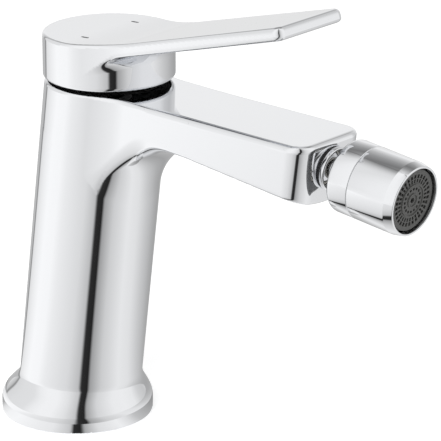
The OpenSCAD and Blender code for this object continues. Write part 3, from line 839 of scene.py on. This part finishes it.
def pale_floor():
    """A white paper sweep: plain to the eye, and it keeps the object's soft shadow."""
    corners = [(-1, -1), (1, -1), (1, 1), (-1, 1)]
    mesh = bpy.data.meshes.new("floor")
    mesh.from_pydata([(x * FLOOR_HALF, y * FLOOR_HALF, 0) for x, y in corners], [], [(0, 1, 2, 3)])
    piece = put_in_scene("floor", mesh)
    piece.location.z = -FLOOR_DROP
    material, tree, _ = new_material("white_paper")
    tree.nodes.clear()
    paper = add_node(tree, "ShaderNodeBsdfDiffuse", values={"Color": linear("#e2e2e2")})
    strength = add_node(
        tree,
        "ShaderNodeMath",
        {"operation": "MULTIPLY"},
        values={1: FLOOR_GLOW},
        links={0: seen_by_eye(tree)},
    )
    glow = add_node(
        tree,
        "ShaderNodeEmission",
        values={"Color": linear("#ffffff")},
        links={"Strength": strength.outputs[0]},
    )
    both = add_node(
        tree, "ShaderNodeAddShader", links={0: paper.outputs[0], 1: glow.outputs[0]}
    )
    add_node(tree, "ShaderNodeOutputMaterial", links={"Surface": both.outputs[0]})
    mesh.materials.append(material)


def white_studio():
    """The room: white to the eye, painted with shaded panels and backdrop where it is mirrored,
    softer where it lights.
    """
    world = bpy.data.worlds.new("studio")
    bpy.context.scene.world = world
    world.use_nodes = True
    tree = world.node_tree
    tree.nodes.clear()
    strength = add_node(
        tree,
        "ShaderNodeMapRange",
        values={"To Min": ROOM_LIGHT, "To Max": 1.0},
        links={"Value": seen_by_eye(tree)},
    )
    direction = add_node(tree, "ShaderNodeTexCoord").outputs["Generated"]
    facing = math.radians(CAMERA_AZ)
    away = (-math.cos(facing), -math.sin(facing), 0)
    rightwards = (-math.sin(facing), math.cos(facing), 0)
    behind, beside = [
        add_node(
            tree,
            "ShaderNodeVectorMath",
            {"operation": "DOT_PRODUCT"},
            values={1: way},
            links={0: direction},
        ).outputs["Value"]
        for way in (away, rightwards)
    ]
    # From the left side to the right side, as zero to one
    beside = add_node(
        tree,
        "ShaderNodeMath",
        {"operation": "MULTIPLY_ADD"},
        values={1: 0.5, 2: 0.5},
        links={0: beside},
    ).outputs[0]
    turned = add_node(
        tree,
        "ShaderNodeVectorRotate",
        {"rotation_type": "Z_AXIS"},
        values={"Angle": -facing},
        links={"Vector": direction},
    )
    turn = add_node(
        tree,
        "ShaderNodeTexGradient",
        {"gradient_type": "RADIAL"},
        links={"Vector": turned.outputs["Vector"]},
    ).outputs["Fac"]
    painted_panels, painted_backdrop, hung, sides = [
        add_node(tree, "ShaderNodeValToRGB", links={"Fac": place}, greys=greys).outputs["Color"]
        for place, greys in (
            (turn, PAINTED_PANEL_SHADES),
            (behind, PAINTED_BACKDROP_SHADES),
            (behind, PAINTED_BACKDROP_PLACE),
            (beside, PAINTED_BACKDROP_SIDES),
        )
    ]
    covered = add_node(
        tree, "ShaderNodeMath", {"operation": "MULTIPLY"}, links={0: hung, 1: sides}
    )
    # The painted reflection that only glossy rays see
    painted_reflection = add_node(
        tree,
        "ShaderNodeMixRGB",
        links={"Fac": covered.outputs[0], "Color1": painted_panels, "Color2": painted_backdrop},
    )
    path = add_node(tree, "ShaderNodeLightPath")
    room = add_node(
        tree,
        "ShaderNodeMixRGB",
        values={"Color1": linear("#ffffff")},
        links={"Fac": path.outputs["Is Glossy Ray"], "Color2": painted_reflection.outputs["Color"]},
    )
    sky = add_node(
        tree,
        "ShaderNodeBackground",
        links={"Color": room.outputs["Color"], "Strength": strength.outputs["Result"]},
    )
    add_node(tree, "ShaderNodeOutputWorld", links={"Surface": sky.outputs[0]})


def softbox(name, place, size, watts):
    """A lamp that faces the object and doesn't show in the chrome."""
    lamp = bpy.data.lights.new(name, "AREA")
    lamp.size = size
    lamp.energy = watts
    piece = put_in_scene(name, lamp)
    piece.location = place
    piece.visible_glossy = False
    piece.rotation_euler = (-Vector(place)).to_track_quat("-Z", "Y").to_euler()


pale_floor()
# A painted shadow next to the foot, seen only in the chrome
painted_floor_ring("painted_foot_shadow", SHADOW_IN_R, SHADOW_OUT_R, PAINTED_SHADOW_SHADES)
# Painted reflections of the floor round the object, seen only in the chrome
painted_floor_ring("painted_near_floor", SHADOW_OUT_R, NEAR_OUT_R, PAINTED_FLOOR_SHADES)
painted_floor_ring("painted_middle_floor", NEAR_OUT_R, MIDDLE_OUT_R, PAINTED_FLOOR_SHADES, MIDDLE_TURN)
painted_floor_ring("painted_far_floor", MIDDLE_OUT_R, FAR_OUT_R, PAINTED_PANEL_SHADES)
white_studio()
softbox("key", place=(0.5, -1.2, 1.3), size=0.9, watts=14)
softbox("fill", place=(-1.1, -0.5, 0.9), size=0.9, watts=6)

# Camera at the photograph's viewing angle, its place and lens fitted to the photograph's edges
camera = put_in_scene("camera", bpy.data.cameras.new("camera"))
camera.location = (0.80332, -0.87045, 0.46736)
camera.rotation_euler = (math.radians(71.376), 0, math.radians(40.294))
camera.data.sensor_width = 36
camera.data.lens = 297.19
camera.data.clip_end = 50
bpy.context.scene.camera = camera
bpy.context.scene.view_settings.view_transform = "Standard"
